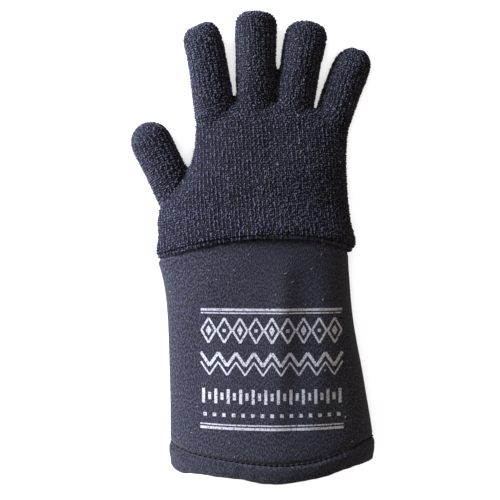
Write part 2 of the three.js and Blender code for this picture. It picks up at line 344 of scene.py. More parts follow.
def digit_sites(tree, name):
    """Loop sites along one digit and over its rounded tip."""
    digit = DIGITS[name]
    axis = axis_of(digit)
    side = Vector((axis.y, -axis.x, 0))
    root = Vector((digit["x"], digit["y"], digit["mid"])) * MM
    straight = (digit["length"] - digit["round"]) * MM
    radius = digit["round"] * MM
    rows = int(straight / COURSE)
    dome = int(radius * math.pi / 2 / COURSE)
    sites = []
    for row in range(rows + dome + 1):
        along = min(row, rows) * COURSE
        tilt = max(0, row - rows) * COURSE / radius
        origin = root + axis * along
        directions = [
            (side * math.cos(turn) + Vector((0, 0, 1)) * math.sin(turn)) * math.cos(tilt)
            + axis * math.sin(tilt)
            for turn in TURNS[::2]
        ]
        count = max(6, round(3 * DIGIT_RIBS * math.cos(tilt)))
        origins = [origin] * len(directions)
        for place, normal, number in ring_of_sites(tree, origins, directions, 26 * MM, count):
            if region_of(place) == name:
                sites.append((place, normal, np.array(axis), number % 3 // 2))
    return sites


def free_room(tree, sites):
    """How much of its full size each loop has room for, so that the gaps between digits stay open."""
    room = []
    for place, normal, _, _ in sites:
        start, out = Vector(place), Vector(normal)
        hit, _, _, distance = tree.ray_cast(start + out * 0.2 * MM, out, FULL_ROOM)
        room.append(1.0 if hit is None else min(1.0, max(0.0, distance / FULL_ROOM)))
    return np.array(room)


def furrow(sites):
    """How deep each loop lies between two ribs: 0 on a rib, and up to 1 where the ribs stand out."""
    deep = []
    for place, _, _, valley in sites:
        patch = 0.9 + 0.9 * noise.noise(Vector(place) / (22 * MM) + Vector((4, 4, 4)))
        thumb_side = np.clip((20 - place[0] / MM) / 45, 0, 1)
        on_digit = np.clip((place[1] / MM - 80) / 25, 0, 1)
        ribbed = 0.4 + 0.6 * max(thumb_side, on_digit)
        deep.append(valley * min(1.0, max(0.0, patch)) * ribbed)
    return np.array(deep)


# Borders of the palm, in millimetres. The thumb's root leans out up to its crotch and back above
# it; the knuckle line bends up towards both sides, and is lower under the little finger.
THUMB_ROOT = {"low": 24, "high": 108, "crotch": 67, "lean": 0.69, "lean_back": -0.25}
KNUCKLES = {"y": 100, "bend": 0.002, "little_from": 40, "little_drop": 7, "ragged": 6}


def region_of(place):
    """The palm or the digit that a place on the hand belongs to."""
    x, y = place[0] / MM, place[1] / MM
    above = y - THUMB_ROOT["crotch"]
    if above < 0:
        thumb_line = -80 + (y - 28) * THUMB_ROOT["lean"]
    else:
        thumb_line = -53 + THUMB_ROOT["lean_back"] * above
    if THUMB_ROOT["low"] < y < THUMB_ROOT["high"] and x < thumb_line:
        return "thumb"
    ragged = KNUCKLES["ragged"] * noise.noise(Vector(place) / (7 * MM))
    drop = KNUCKLES["little_drop"] if x > KNUCKLES["little_from"] else 0
    if y < KNUCKLES["y"] + KNUCKLES["bend"] * x * x - drop + ragged:
        return "palm"
    nearest, best = "palm", 1e9
    for name, digit in DIGITS.items():
        axis = axis_of(digit)
        away = abs((x - digit["x"]) * axis.y - (y - digit["y"]) * axis.x)
        if name != "thumb" and away < best:
            nearest, best = name, away
    return nearest


def rim_sites(sites, edge):
    """Three more courses that turn under the knit's lower edge, from the palm's lowest course."""
    rim = []
    for place, normal, along, valley in sites:
        turn = math.atan2(place[2] - WRIST[1], place[0] - WRIST[0])
        if place[1] > np.interp(turn, TURNS, edge, period=2 * math.pi) + 1.7 * MM:
            continue
        for inward, down in ((0.2, 1.1), (0.9, 1.8), (1.9, 2.2)):
            spot = place - normal * inward * MM - along * down * MM
            face = normal * (1.4 - 0.6 * inward) - along * 0.6
            rim.append((spot, face / np.linalg.norm(face), normal, valley))
    return rim


def loop_template():
    """One yarn loop: an arch along X that stands on the plane z = 0, its two feet closed."""
    turns = np.linspace(-0.25, math.pi + 0.25, LOOP_STEPS + 1)
    around = np.arange(LOOP_SIDES) * 2 * math.pi / LOOP_SIDES + math.pi / 4
    points = []
    for turn in turns:
        centre = np.array((math.cos(turn) * LOOP_LENGTH, 0, math.sin(turn) * LOOP_RISE))
        outward = np.array((math.cos(turn), 0, math.sin(turn)))
        for a in around:
            points.append(centre + YARN * (math.cos(a) * outward + math.sin(a) * np.array((0, 1, 0))))
    faces = []
    for step in range(LOOP_STEPS):
        for i in range(LOOP_SIDES):
            j = (i + 1) % LOOP_SIDES
            a, b = step * LOOP_SIDES, (step + 1) * LOOP_SIDES
            faces.append((a + i, b + i, b + j, a + j))
    last = LOOP_STEPS * LOOP_SIDES
    faces.append(tuple(range(LOOP_SIDES)))
    faces.append(tuple(last + i for i in reversed(range(LOOP_SIDES))))
    return np.array(points), faces


def loop_tones_with_painted_light(rng, place, deep, hollow):
    """How pale each loop's yarn is: a random tone, darkened by painted shade in the furrows and
    hollows, made paler by painted light at the thumb side, and a little paler low down.
    """
    thumb_side = np.clip((10 - place[:, 0] / MM) / 45, 0, 1)
    low = np.clip((45 - place[:, 1] / MM) / 40, 0, 1)
    # Painted shade in the pile's hollows, stronger low down and at the thumb side; the deep term below
    # is painted shade in the furrows between ribs.
    shade = 0.5 + 0.15 * low + 0.15 * thumb_side
    tone = rng.normal(LOOP_TONE, SPREAD["tone"], len(place)) - 0.6 * deep - shade * hollow
    # Painted light: the thumb side, towards the key light, is made paler; loops low down are also made
    # a little paler.
    tone += 0.24 * thumb_side + 0.1 * low
    return np.clip(tone, 0, 1.2)


def loops(name, tree, sites, seed):
    """One mesh of yarn loops, each turned, tipped and sized a little by chance."""
    rng = np.random.default_rng(seed)
    room = free_room(tree, sites)
    sites = [site for site, free in zip(sites, room) if free > LEAST_ROOM]
    room = room[room > LEAST_ROOM]
    deep = furrow(sites)
    template, faces = loop_template()
    count = len(sites)
    place = np.array([s[0] for s in sites])
    up = np.array([s[1] for s in sites])
    along = np.array([s[2] for s in sites])
    along -= up * (along * up).sum(1)[:, None]
    short = np.linalg.norm(along, axis=1) < 1e-3
    along[short] = np.cross(up[short], (1.0, 0.0, 0.0))
    along /= np.linalg.norm(along, axis=1)[:, None]
    across = np.cross(up, along)
    turn = rng.normal(0, SPREAD["turn"], count)[:, None]
    lean = rng.normal(0, SPREAD["lean"], count)[:, None]
    run = along * np.cos(turn) + across * np.sin(turn)
    side = np.cross(up, run)
    stand = up * np.cos(lean) + side * np.sin(lean)
    side = np.cross(stand, run)
    size = rng.uniform(*LOOP_SIZES, (count, 1)) * (0.4 + 0.6 * room[:, None])
    place = place + across * rng.normal(0, SPREAD["across"], (count, 1))
    place += along * rng.normal(0, SPREAD["along"], (count, 1))
    grain = soft_noise(place, PILE_GRAIN, 1.7)
    hollow = np.clip(-3.4 * grain, 0, 1)
    place -= up * (0.05 + 0.55 * deep + 0.4 * hollow)[:, None] * MM
    local = template[None] * size[:, None]
    points = (
        place[:, None]
        + local[..., 0:1] * run[:, None]
        + local[..., 1:2] * side[:, None]
        + local[..., 2:3] * stand[:, None]
    ).reshape(-1, 3)
    points[:, 2] = np.maximum(points[:, 2], 0.1 * MM)
    stride = len(template)
    all_faces = [tuple(i * stride + v for v in face) for i in range(count) for face in faces]
    piece = mesh_piece(name, points, all_faces)
    # The tone holds painted shade in furrows and hollows and painted light at the thumb side.
    set_attribute(piece, "yarn_tone_with_painted_light", np.repeat(loop_tones_with_painted_light(rng, place, deep, hollow), stride))
    return piece


# The cuff and its hem

CUFF_MIDDLE = np.array((12.5 * MM, 0, 24 * MM))  # on the line that runs down inside the cuff


def turn_round(points):
    """The angle of each point round the line down the cuff's middle."""
    return np.arctan2(points[:, 2] - CUFF_MIDDLE[2], points[:, 0] - CUFF_MIDDLE[0])


def outward_of(points):
    """The direction at each point straight out from the line down the cuff's middle."""
    away = (points - CUFF_MIDDLE) * (1, 0, 1)
    return away / np.linalg.norm(away, axis=1)[:, None]


def seam_ring():
    """The line where the hem is sewn on: the corner points of the cuff's lower end, in order."""
    piece = copy_of_node("cuff", "seam_finder")
    mesh = bmesh.new()
    mesh.from_mesh(piece.data)
    low = -140 * MM
    ends = {f for f in mesh.faces if f.normal.y < -0.5 and f.calc_center_median().y < low}
    rungs = [e for e in mesh.edges if len(e.link_faces) == 2 and set(e.link_faces) <= ends]
    centre = Vector(CUFF_MIDDLE)
    outer = set()
    for edge in rungs:
        outer.add(max(edge.verts, key=lambda v: ((v.co - centre) * Vector((1, 0, 1))).length))
    ring = np.array([v.co[:] for v in outer])
    hang(ring)
    mesh.free()
    bpy.data.objects.remove(piece)
    return ring[np.argsort(turn_round(ring))]


def closed_spline(ring, count):
    """Evenly spaced points on the closed cubic B-spline of a ring, and its whole length."""
    steps = 24
    fine = []
    shares = np.arange(steps)[:, None] / steps
    for i in range(len(ring)):
        a, b, c, d = (ring[(i + k) % len(ring)] for k in range(-1, 3))
        fine.append(
            (1 - shares) ** 3 / 6 * a
            + (3 * shares**3 - 6 * shares**2 + 4) / 6 * b
            + (-3 * shares**3 + 3 * shares**2 + 3 * shares + 1) / 6 * c
            + shares**3 / 6 * d
        )
    fine = np.concatenate(fine)
    closed = np.vstack([fine, fine[:1]])
    run = np.concatenate([[0], np.cumsum(np.linalg.norm(np.diff(closed, axis=0), axis=1))])
    wanted = np.arange(count) / count * run[-1]
    return np.stack([np.interp(wanted, run, closed[:, k]) for k in range(3)], axis=1), run[-1]


def tubes(name, paths, radius, sides=6):
    """One mesh of short or closed tubes along paths of points; a closed path ends as it starts."""
    points, faces = [], []
    for path in paths:
        path = np.asarray(path)
        closed = np.allclose(path[0], path[-1])
        if closed:
            path = path[:-1]
        count = len(path)
        ahead = np.roll(path, -1, axis=0) - np.roll(path, 1, axis=0)
        if not closed:
            ahead[0], ahead[-1] = path[1] - path[0], path[-1] - path[-2]
        ahead /= np.linalg.norm(ahead, axis=1)[:, None]
        up = np.where(np.abs(ahead[:, 2:3]) > 0.9, (1.0, 0.0, 0.0), (0.0, 0.0, 1.0))
        side = np.cross(ahead, up)
        side /= np.linalg.norm(side, axis=1)[:, None]
        over = np.cross(side, ahead)
        first = len(points)
        for k in range(count):
            thin = 1.0 if closed or 0 < k < count - 1 else 0.55
            for i in range(sides):
                a = 2 * math.pi * i / sides
                points.append(path[k] + radius * thin * (math.cos(a) * side[k] + math.sin(a) * over[k]))
        for k in range(count if closed else count - 1):
            a, b = first + k * sides, first + ((k + 1) % count) * sides
            for i in range(sides):
                j = (i + 1) % sides
                faces.append((a + i, b + i, b + j, a + j))
        if not closed:
            last = first + (count - 1) * sides
            faces.append(tuple(first + i for i in range(sides)))
            faces.append(tuple(last + i for i in reversed(range(sides))))
    points = np.array(points)
    points[:, 2] = np.maximum(points[:, 2], FLOOR_GAP)
    return mesh_piece(name, points, faces)


STITCH_PITCH = 4.3 * MM
STITCH_LENGTH = 3.4 * MM
THREAD = 0.55 * MM  # radius of the stitches' thread
FOLD = 0.85 * MM  # radius of the folded edges inside the seam
FOLD_DEPTH = 1.75 * MM  # how far inside the seam they lie
BINDING = 0.5 * MM  # radius of the yarn that binds the knit's lower edge


def hem_stitches(ring):
    """The topstitching: short dark stitches that lie in the groove over the hem's upper edge."""
    length = closed_spline(ring, 8)[1]
    count = round(length / STITCH_PITCH)
    steps = 12
    line = closed_spline(ring, count * steps)[0]
    inside = round(steps * STITCH_LENGTH / STITCH_PITCH)
    away = outward_of(line)
    paths = []
    rng = np.random.default_rng(21)
    for k in range(count):
        part = np.arange(k * steps, k * steps + inside + 1, 2) % len(line)
        share = np.linspace(-1, 1, len(part))[:, None]
        lift = (-0.2 - 0.6 * share**4) * MM
        shift = np.array((0, rng.normal(0.35, 0.12) * MM, 0))
        paths.append(line[part] + away[part] * lift + shift)
    return tubes("hem_stitches", paths, THREAD)


def hem_filler(ring):
    """The folded edges that meet inside the seam, seen only as the bottom of its groove, and coloured
    black as painted shade in that groove.
    """
    line = closed_spline(ring, 240)[0]
    line = line - outward_of(line) * FOLD_DEPTH
    piece = tubes("hem_seam_painted_shade", [np.vstack([line, line[:1]])], FOLD, 8)
    cloth_map(piece, ring)
    return piece


def edge_cord(tree, edge):
    """The yarn that binds the knit's lower edge down to the cuff, made black as painted shade of the
    gap under that edge.
    """
    line = []
    for turn, out, up in zip(TURNS, OUTWARD, edge):
        wander = noise.noise(Vector((9 * math.cos(turn), 9 * math.sin(turn), 0.5)))
        start = Vector((WRIST[0], up - (0.9 - 0.3 * wander) * MM, WRIST[1]))
        hit = first_way_out(tree, start, out, REACH)
        if hit is not None:
            line.append(np.array(hit[0] + hit[1] * 0.35 * MM))
    line = closed_spline(np.array(line), 400)[0]
    line[:, 2] = np.maximum(line[:, 2], 0.7 * MM)
    return tubes("knit_edge_cord_painted_shade", [np.vstack([line, line[:1]])], BINDING, 7)


# The print: a woven-border ornament of double rules, diamonds, zigzags, bars and dots, each in its
# own row or rows down the cuff. Millimetres.
PRINT_LEFT, PRINT_RIGHT = -43.0, 67.0
RULE_ROWS = [-46.0, -136.0]
RULE = {"wide": 1.9, "thin": 1.0, "apart": 2.6}
DIAMOND_ROW = {"y": -62.0, "wide": 5.6, "tall": 9.5, "line": 1.6, "inner": 0.42, "count": 9}
ZIGZAG_ROWS = [{"y": -84.0, "line": 2.3}, {"y": -91.0, "line": 1.3}]
ZIGZAG = {"tall": 5.0, "count": 8}
BAR_ROW = {"y": -112.0, "tall": 5.5, "line": 2.3, "count": 23}
DOT_ROW = {"y": -126.0, "size": 2.7, "count": 15}
FILLED_HALF = 2.3  # half the width of a small filled diamond at its middle
INK_STEP = 1.3  # the longest part of a stroke that is laid on the cloth in one piece
INK_LIFT, INK_DEPTH = 0.1, 0.08


def middles(count):
    """X of the middle of each of so many equal parts of the print's width."""
    width = PRINT_RIGHT - PRINT_LEFT
    return [PRINT_LEFT + width * (i + 0.5) / count for i in range(count)]


def print_strokes():
    """The ornament as flat strokes: start, end and width of each, in millimetres. The width
    "diamond" is that of a small filled diamond, which narrows to both ends."""
    strokes = []
    for y in RULE_ROWS:
        strokes.append(((PRINT_LEFT, y), (PRINT_RIGHT, y), RULE["wide"]))
        inner = y + (RULE["apart"] if y == RULE_ROWS[1] else -RULE["apart"])
        strokes.append(((PRINT_LEFT, inner), (PRINT_RIGHT, inner), RULE["thin"]))
    row = DIAMOND_ROW
    y, wide, tall = row["y"], row["wide"], row["tall"]
    for i, x in enumerate(middles(row["count"])):
        corners = [(x, y + tall), (x + wide, y), (x, y - tall), (x - wide, y)]
        strokes += [(corners[k], corners[(k + 1) % 4], row["line"]) for k in range(4)]
        inside = tall * row["inner"]
        if i % 2 == 0:
            strokes.append(((x, y + inside), (x, y - inside), "diamond"))
        else:
            strokes.append(((x - 1.2, y), (x + 1.2, y), 2.4))
    for row in ZIGZAG_ROWS:
        count = ZIGZAG["count"] * 2
        xs = [PRINT_LEFT + (PRINT_RIGHT - PRINT_LEFT) * i / count for i in range(count + 1)]
        ys = [row["y"] + ZIGZAG["tall"] * (-1) ** i for i in range(count + 1)]
        turns = list(zip(xs, ys))
        strokes += [(a, b, row["line"]) for a, b in zip(turns, turns[1:])]
    y = BAR_ROW["y"]
    for i, x in enumerate(middles(BAR_ROW["count"])):
        tall = BAR_ROW["tall"] * (1.0 if i % 2 == 0 else 0.5)
        strokes.append(((x, y - tall), (x, y + tall), BAR_ROW["line"]))
    y, half = DOT_ROW["y"], DOT_ROW["size"] / 2
    strokes += [((x - half, y), (x + half, y), DOT_ROW["size"]) for x in middles(DOT_ROW["count"])]
    return strokes


def printed_ornament(tree):
    """The strokes laid on the cuff as thin skins of ink."""
    points, faces = [], []

    def lay(x, y):
        hit, normal = met_from_above(tree, x, y)
        points.append(hit + normal * INK_LIFT * MM)
        return len(points) - 1

    for start, end, width in print_strokes():
        start, end = np.array(start), np.array(end)
        length = np.linalg.norm(end - start)
        along = (end - start) / length
        across = np.array((-along[1], along[0]))
        steps = max(2, math.ceil(length / INK_STEP))
        rows = []
        for i in range(steps + 1):
            share = i / steps
            if width == "diamond":
                half = FILLED_HALF * (1 - abs(2 * share - 1)) + 0.05
            else:
                half = width / 2
            at = start + along * length * share
            rows.append([lay(*(at + across * half * k)) for k in (-1, 0, 1)])
        for a, b in zip(rows, rows[1:]):
            for k in range(2):
                faces.append((a[k], a[k + 1], b[k + 1], b[k]))
    piece = mesh_piece("cuff_print", np.array([p[:] for p in points]), faces)
    activate(piece)
    bpy.ops.object.mode_set(mode="EDIT")
    bpy.ops.mesh.select_all(action="SELECT")
    bpy.ops.mesh.normals_make_consistent(inside=False)
    bpy.ops.object.mode_set(mode="OBJECT")
    if sum(p.normal.z for p in piece.data.polygons) < 0:
        piece.data.flip_normals()
    modify(piece, "SOLIDIFY", thickness=INK_DEPTH * MM, offset=-1.0)
    piece.data.polygons.foreach_set("use_smooth", [False] * len(piece.data.polygons))
    return piece


LINT = {"count": 64, "radius": 0.26 * MM, "shortest": 0.7, "longest": 2.4}


def lint(trees, seed):
    """Short pale fibres that cling to the glove."""
    rng = np.random.default_rng(seed)
    paths = []
    for _ in range(LINT["count"] * 3):
        x, y = rng.uniform(-95, 92), rng.uniform(-172, 188)
        turn, length = rng.uniform(0, math.pi), rng.uniform(LINT["shortest"], LINT["longest"])
        hits = [met_from_above(tree, x, y) for tree in trees]
        hits = [h for h in hits if h[0] is not None and h[1].z > 0.3]
        if not hits or len(paths) >= LINT["count"]:
            continue
        hit, normal = max(hits, key=lambda h: h[0].z)
        lift = (PILE + 0.9 * MM) if y > 6 else 0.15 * MM
        along = Vector((math.cos(turn), math.sin(turn), 0)).cross(normal).normalized()
        bow = normal.cross(along) * rng.normal(0, 0.4) * MM
        base = hit + normal * lift
        half = along * length * MM / 2
        paths.append([np.array(base + half * k + bow * (1 - k * k)) for k in (-1, -0.5, 0, 0.5, 1)])
    return tubes("lint", paths, LINT["radius"], 5)


def cloth_map(piece, ring):
    """A UV map in metres for a sewn tube: round it, and along it. The join is underneath."""
    line, length = closed_spline(ring, 720)
    line_turns = np.unwrap(turn_round(line))
    run = np.arange(len(line)) / len(line) * length
    order = np.argsort(line_turns % (2 * math.pi))
    seam_turn = 1.5 * math.pi
    uv = piece.data.uv_layers.new(name="cloth")
    points = points_of(piece)
    turns = (turn_round(points) - seam_turn) % (2 * math.pi)
    start = np.interp(seam_turn, (line_turns % (2 * math.pi))[order], run[order])
    shifted = (line_turns - seam_turn) % (2 * math.pi)
    rank = np.argsort(shifted)
    around = np.interp(turns, shifted[rank], (run[rank] - start) % length)
    corner = values_of(piece.data.loops, "vertex_index", kind=int)
    u = around[corner]
    starts = values_of(piece.data.polygons, "loop_start", kind=int)
    totals = values_of(piece.data.polygons, "loop_total", kind=int)
    for first, total in zip(starts, totals):
        part = u[first : first + total]
        if part.max() - part.min() > length / 2:
            part[part < length / 2] += length
    uv.data.foreach_set("uv", np.stack([u, points[corner, 1]], axis=1).astype(np.float32).ravel())


def fine_tube(node, name):
    """A copy of a sewn tube of the CAD part, subdivided, its corners kept."""
    piece = copy_of_node(node, name)
    crease_corners(piece, 34)
    modify(piece, "SUBSURF", levels=3, render_levels=3)
    return piece


# Soft forms of the cuff's upper side: where each one lies, its half lengths across and along,
# its height, and its turn. Millimetres and degrees; a negative height is a hollow.
CUFF_FORMS = [
    {"x": 20, "y": -60, "wide": 9, "long": 80, "high": 1.6, "turn": 3},
    {"x": 36, "y": -70, "wide": 12, "long": 60, "high": -1.6, "turn": 6},
    {"x": -40, "y": -28, "wide": 24, "long": 20, "high": 2.3, "turn": -12},
    {"x": 30, "y": -26, "wide": 20, "long": 7, "high": -0.8, "turn": 10},
    {"x": -45, "y": -95, "wide": 18, "long": 34, "high": -0.9, "turn": 8},
    {"x": -12, "y": -120, "wide": 16, "long": 26, "high": 0.6, "turn": -14},
    {"x": 60, "y": -115, "wide": 10, "long": 34, "high": -0.9, "turn": 12},
]

STITCH_LINE = -148  # Y of the hem's seam, in millimetres, where the folds have faded
PUCKERS = 96  # how many times the stitches draw the cloth in, round the seam
HEM_RISE = 4.2 * MM  # at the little finger side
CORNER_DROP = 4.6 * MM  # of the hem's corner at the thumb side


def slack(points):
    """Moves the cuff's cloth as it lies: broad soft folds, fading at the knit and at the hem."""
    x, y = points[:, 0] / MM, points[:, 1] / MM
    upper = np.clip((points[:, 2] - 8 * MM) / (14 * MM), 0, 1)
    fade = np.clip((-4 - y) / 14, 0, 1) * np.clip((y - STITCH_LINE) / 12, 0, 1)
    rise = np.zeros(len(points))
    for form in CUFF_FORMS:
        turn = math.radians(form["turn"])
        dx, dy = x - form["x"], y - form["y"]
        across = (dx * math.cos(turn) - dy * math.sin(turn)) / form["wide"]
        along = (dx * math.sin(turn) + dy * math.cos(turn)) / form["long"]
        rise += form["high"] * np.exp(-(across**2) - along**2)
    rise += 0.45 * soft_noise(points, 24 * MM, 5.5) + 0.16 * soft_noise(points, 8 * MM, 9.1)
    points[:, 2] += rise * upper * fade * MM


def seam_distance(points, ring):
    """How far each point lies up from the hem's seam, at its own place round the cuff."""
    turns = turn_round(ring)
    return points[:, 1] - np.interp(turn_round(points), turns, ring[:, 1], period=2 * math.pi)


def hang(points):
    """The hem hangs a little higher at the little finger side, and fuller at its thumb side corner."""
    x, y = points[:, 0] / MM, points[:, 1] / MM
    right = np.clip((x - 42) / 45, 0, 1)
    low = np.clip((-108 - y) / 40, 0, 1)
    rim = np.clip((-152 - y) / 12, 0, 1) * (1 - np.clip((points[:, 2] / MM - 20) / 20, 0, 1))
    points[:, 1] += HEM_RISE * right**2 * (3 - 2 * right) * low**2 * (3 - 2 * low) * (1 - rim)
    corner = np.exp(-(((x + 62) / 11) ** 2)) * np.clip((-156 - y) / 9, 0, 1)
    points[:, 1] -= CORNER_DROP * corner


def groove(points, normals, away, turn):
    """Draws the cloth in along the seam, more at each stitch than between them."""
    pucker = 0.5 + 0.5 * np.cos(turn * PUCKERS)
    depth = (0.85 + 0.3 * pucker) * np.clip(1 - np.abs(away) / (2.6 * MM), 0, 1) ** 2
    points -= normals * (depth * MM)[:, None]


def fill_shoulder(points, normals, edge):
    """Lets the cuff come up full under the knit's edge, most of all at the thumb side."""
    turn = np.arctan2(points[:, 2] - WRIST[1], points[:, 0] - WRIST[0])
    below = (np.interp(turn, TURNS, edge, period=2 * math.pi) - points[:, 1]) / MM
    fullness = 0.7 + 4.4 * np.clip(-np.cos(turn), 0, 1) ** 3
    outward = np.clip(normals[:, 0] * np.cos(turn) + normals[:, 2] * np.sin(turn), 0, 1) ** 0.5
    swell = fullness * np.clip((below + 1.2) / 1.4, 0, 1) * np.exp(-np.clip(below, 0, None) / 4.2)
    points[:, 0] += np.cos(turn) * swell * outward * MM
    points[:, 2] += np.maximum(np.sin(turn), 0) * swell * outward * MM


def cuff(ring, edge):
    """The gauntlet's cloth, as it lies."""
    piece = fine_tube("cuff", "cuff_cloth")
    points = points_of(piece)
    fill_shoulder(points, normals_of(piece), edge)
    hang(points)
    slack(points)
    groove(points, normals_of(piece), seam_distance(points, ring), turn_round(points))
    move_points(piece, points)
    smooth(piece)
    cloth_map(piece, ring)
    return piece


# Small moves of the hem's lower edge: the place, how far round it the move reaches, and how far it
# goes up the cuff. Millimetres.
HEM_MOVES = [
    {"x": -52, "reach": 8, "up": -0.8},
    {"x": -14, "reach": 16, "up": 1.7},
    {"x": 38, "reach": 16, "up": 1.1},
    {"x": 82, "reach": 13, "up": -2.8},
]


def hem(ring):
    """The turned-up band at the mouth, fuller under its stitches and a little lumpy."""
    piece = fine_tube("cuff_hem", "hem_band")
    points = points_of(piece)
    normals = normals_of(piece)
    hang(points)
    away = seam_distance(points, ring)
    lower = np.clip(-away / (10 * MM), 0, 1)
    for move in HEM_MOVES:
        near = np.exp(-(((points[:, 0] / MM - move["x"]) / move["reach"]) ** 2))
        points[:, 1] += move["up"] * near * lower * MM
    puff = 0.45 * np.exp(-(((away + 3.4 * MM) / (1.8 * MM)) ** 2))
    puff += 0.7 * np.exp(-(((away + 7.0 * MM) / (4.0 * MM)) ** 2))
    lumps = 0.35 * soft_noise(points, 6 * MM, 2.2) + 0.3 * soft_noise(points, 18 * MM, 4.4)
    points += normals * ((puff + lumps) * MM)[:, None]
    groove(points, normals, away, turn_round(points))
    points[:, 2] = np.maximum(points[:, 2], FLOOR_GAP)
    move_points(piece, points)
    smooth(piece)
    cloth_map(piece, ring)
    return piece


# Materials

# Colours of the finishes
# Each loop's tone picks among these shades, and that tone also carries painted shade and painted light.
YARN_DARK = (0.006, 0.006, 0.009, 1)
YARN_MIDDLE = (0.041, 0.0428, 0.071, 1)
YARN_PALE = (0.121, 0.126, 0.203, 1)
# Near-black, darker than the yarn itself: painted shade between the loops.
GROUND_YARN_PAINTED_SHADE = (0.008, 0.008, 0.012)
CUFF_CLOTH = (0.0219, 0.0220, 0.0358)
HEM_CLOTH = (0.0177, 0.0177, 0.0302)
FLECK = (0.12, 0.12, 0.14, 1)
# Black thread of the stitches, also used as painted shade on the seam's folded edges and on the cord
# under the knit's edge.
BLACK_THREAD_AND_PAINTED_SHADE = (0.012, 0.012, 0.016)
PALE_LINT = (0.34, 0.35, 0.38)
INK = (0.72, 0.72, 0.74, 1)
INK_WORN = (0.09, 0.09, 0.11, 1)
PALE_FLOOR = (0.86, 0.86, 0.87)

# Scale and amount of each mottling: the larger the scale, the finer it is
YARN_FIBRES = (2200.0, 0.9)
THREAD_FIBRES = (1800.0, 1.4)
GROUND_FIBRES = (900.0, 1.2)
INK_WEAR = (900.0, 3.0)
CANVAS_NAP = (950.0, 17.0)
CANVAS_CLOUDS = (60.0, 0.35)
CANVAS_FLECKS = (700.0, 1.0)


def node_group(name, inputs, outputs):
    """An empty shader node group with these named sockets, and its two end nodes."""
    tree = bpy.data.node_groups.new(name, "ShaderNodeTree")
    for label, kind, value in inputs:
        socket = tree.interface.new_socket(name=label, in_out="INPUT", socket_type=kind)
        if value is not None:
            socket.default_value = value
    for label, kind in outputs:
        tree.interface.new_socket(name=label, in_out="OUTPUT", socket_type=kind)
    return tree, tree.nodes.new("NodeGroupInput"), tree.nodes.new("NodeGroupOutput")


def add(tree, kind, links=None, **values):
    """A node with these settings, and with these values or other nodes' sockets on its inputs."""
    node = tree.nodes.new(kind)
    for key, value in values.items():
        setattr(node, key, value)
    for key, source in (links or {}).items():
        if isinstance(source, bpy.types.NodeSocket):
            tree.links.new(source, node.inputs[key])
        else:
            node.inputs[key].default_value = source
    return node


def maths(tree, operation, *values):
    """The result of a math node on these sockets and numbers."""
    return add(tree, "ShaderNodeMath", dict(enumerate(values)), operation=operation).outputs[0]


def heather_group():
    """Mottling of dyed fibres: a factor about 1; the larger the scale, the finer its lumps."""
    sockets = [
        ("Vector", "NodeSocketVector", None),
        ("Scale", "NodeSocketFloat", 400.0),
        ("Amount", "NodeSocketFloat", 0.3),
    ]
    tree, given, out = node_group("heather", sockets, [("Factor", "NodeSocketFloat")])
    source = {name: given.outputs[name] for name in ("Vector", "Scale")}
    grain = add(tree, "ShaderNodeTexNoise", {**source, "Detail": 2.0, "Roughness": 0.6})
    centred = maths(tree, "SUBTRACT", grain.outputs["Fac"], 0.5)
    strong = maths(tree, "MULTIPLY", centred, given.outputs["Amount"])
    tree.links.new(maths(tree, "ADD", strong, 1.0), out.inputs["Factor"])
    return tree


def mottling(tree, heather, vector, scale, amount):
    """The factor of the heather group over this vector."""
    values = {"Vector": vector, "Scale": scale, "Amount": amount}
    return add(tree, "ShaderNodeGroup", values, node_tree=heather).outputs["Factor"]


def blend(tree, factor, first, second, **settings):
    """The colour that a mix node makes of two colours or sockets."""
    values = {"Factor": factor, "A": first, "B": second}
    return add(tree, "ShaderNodeMix", values, data_type="RGBA", **settings).outputs["Result"]


def material(name, color, roughness, sheen=0.0):
    """A material whose shader holds the plain values; a varied colour is linked by the caller."""
    made = bpy.data.materials.new(name)
    made.use_nodes = True
    shader = made.node_tree.nodes["Principled BSDF"]
    shader.inputs["Base Color"].default_value = (*color, 1.0)
    shader.inputs["Roughness"].default_value = roughness
    shader.inputs["Specular IOR Level"].default_value = 0.25
    shader.inputs["Sheen Weight"].default_value = sheen
    shader.inputs["Sheen Roughness"].default_value = 0.6
    return made, made.node_tree, shader


def yarn_material(heather):
    """The loops' yarn, from dark to pale by each loop's tone, which carries painted shade in the
    furrows and hollows and painted light at the thumb side.
    """
    made, tree, shader = material("knit_yarn", YARN_MIDDLE[:3], roughness=0.95, sheen=0.25)
    tone = add(tree, "ShaderNodeAttribute", attribute_name="yarn_tone_with_painted_light")
    ramp = add(tree, "ShaderNodeValToRGB", {"Fac": tone.outputs["Fac"]})
    stops = ramp.color_ramp.elements
    stops[0].position, stops[0].color = 0.0, YARN_DARK
    stops[1].position, stops[1].color = 1.0, YARN_PALE
    stops.new(0.5).color = YARN_MIDDLE
    place = add(tree, "ShaderNodeTexCoord")
    fine = mottling(tree, heather, place.outputs["Object"], *YARN_FIBRES)
    shown = blend(tree, 1.0, ramp.outputs["Color"], fine, blend_type="MULTIPLY")
    tree.links.new(shown, shader.inputs["Base Color"])
    return made


def weave_group():
    """A plain weave: the height of its crossing threads, from 0 to 1; the pitch is in metres."""
    sockets = [("Vector", "NodeSocketVector", None), ("Pitch", "NodeSocketFloat", 0.0009)]
    tree, given, out = node_group("plain_weave", sockets, [("Height", "NodeSocketFloat")])
    parts = add(tree, "ShaderNodeSeparateXYZ", {"Vector": given.outputs["Vector"]})
    rate = maths(tree, "DIVIDE", math.pi, given.outputs["Pitch"])
    angles = [maths(tree, "MULTIPLY", parts.outputs[axis], rate) for axis in ("X", "Y")]
    crossed = maths(tree, "MULTIPLY", *(maths(tree, "SINE", angle) for angle in angles))
    height = maths(tree, "MULTIPLY_ADD", crossed, 0.5, 0.5)
    tree.links.new(height, out.inputs["Height"])
    return tree


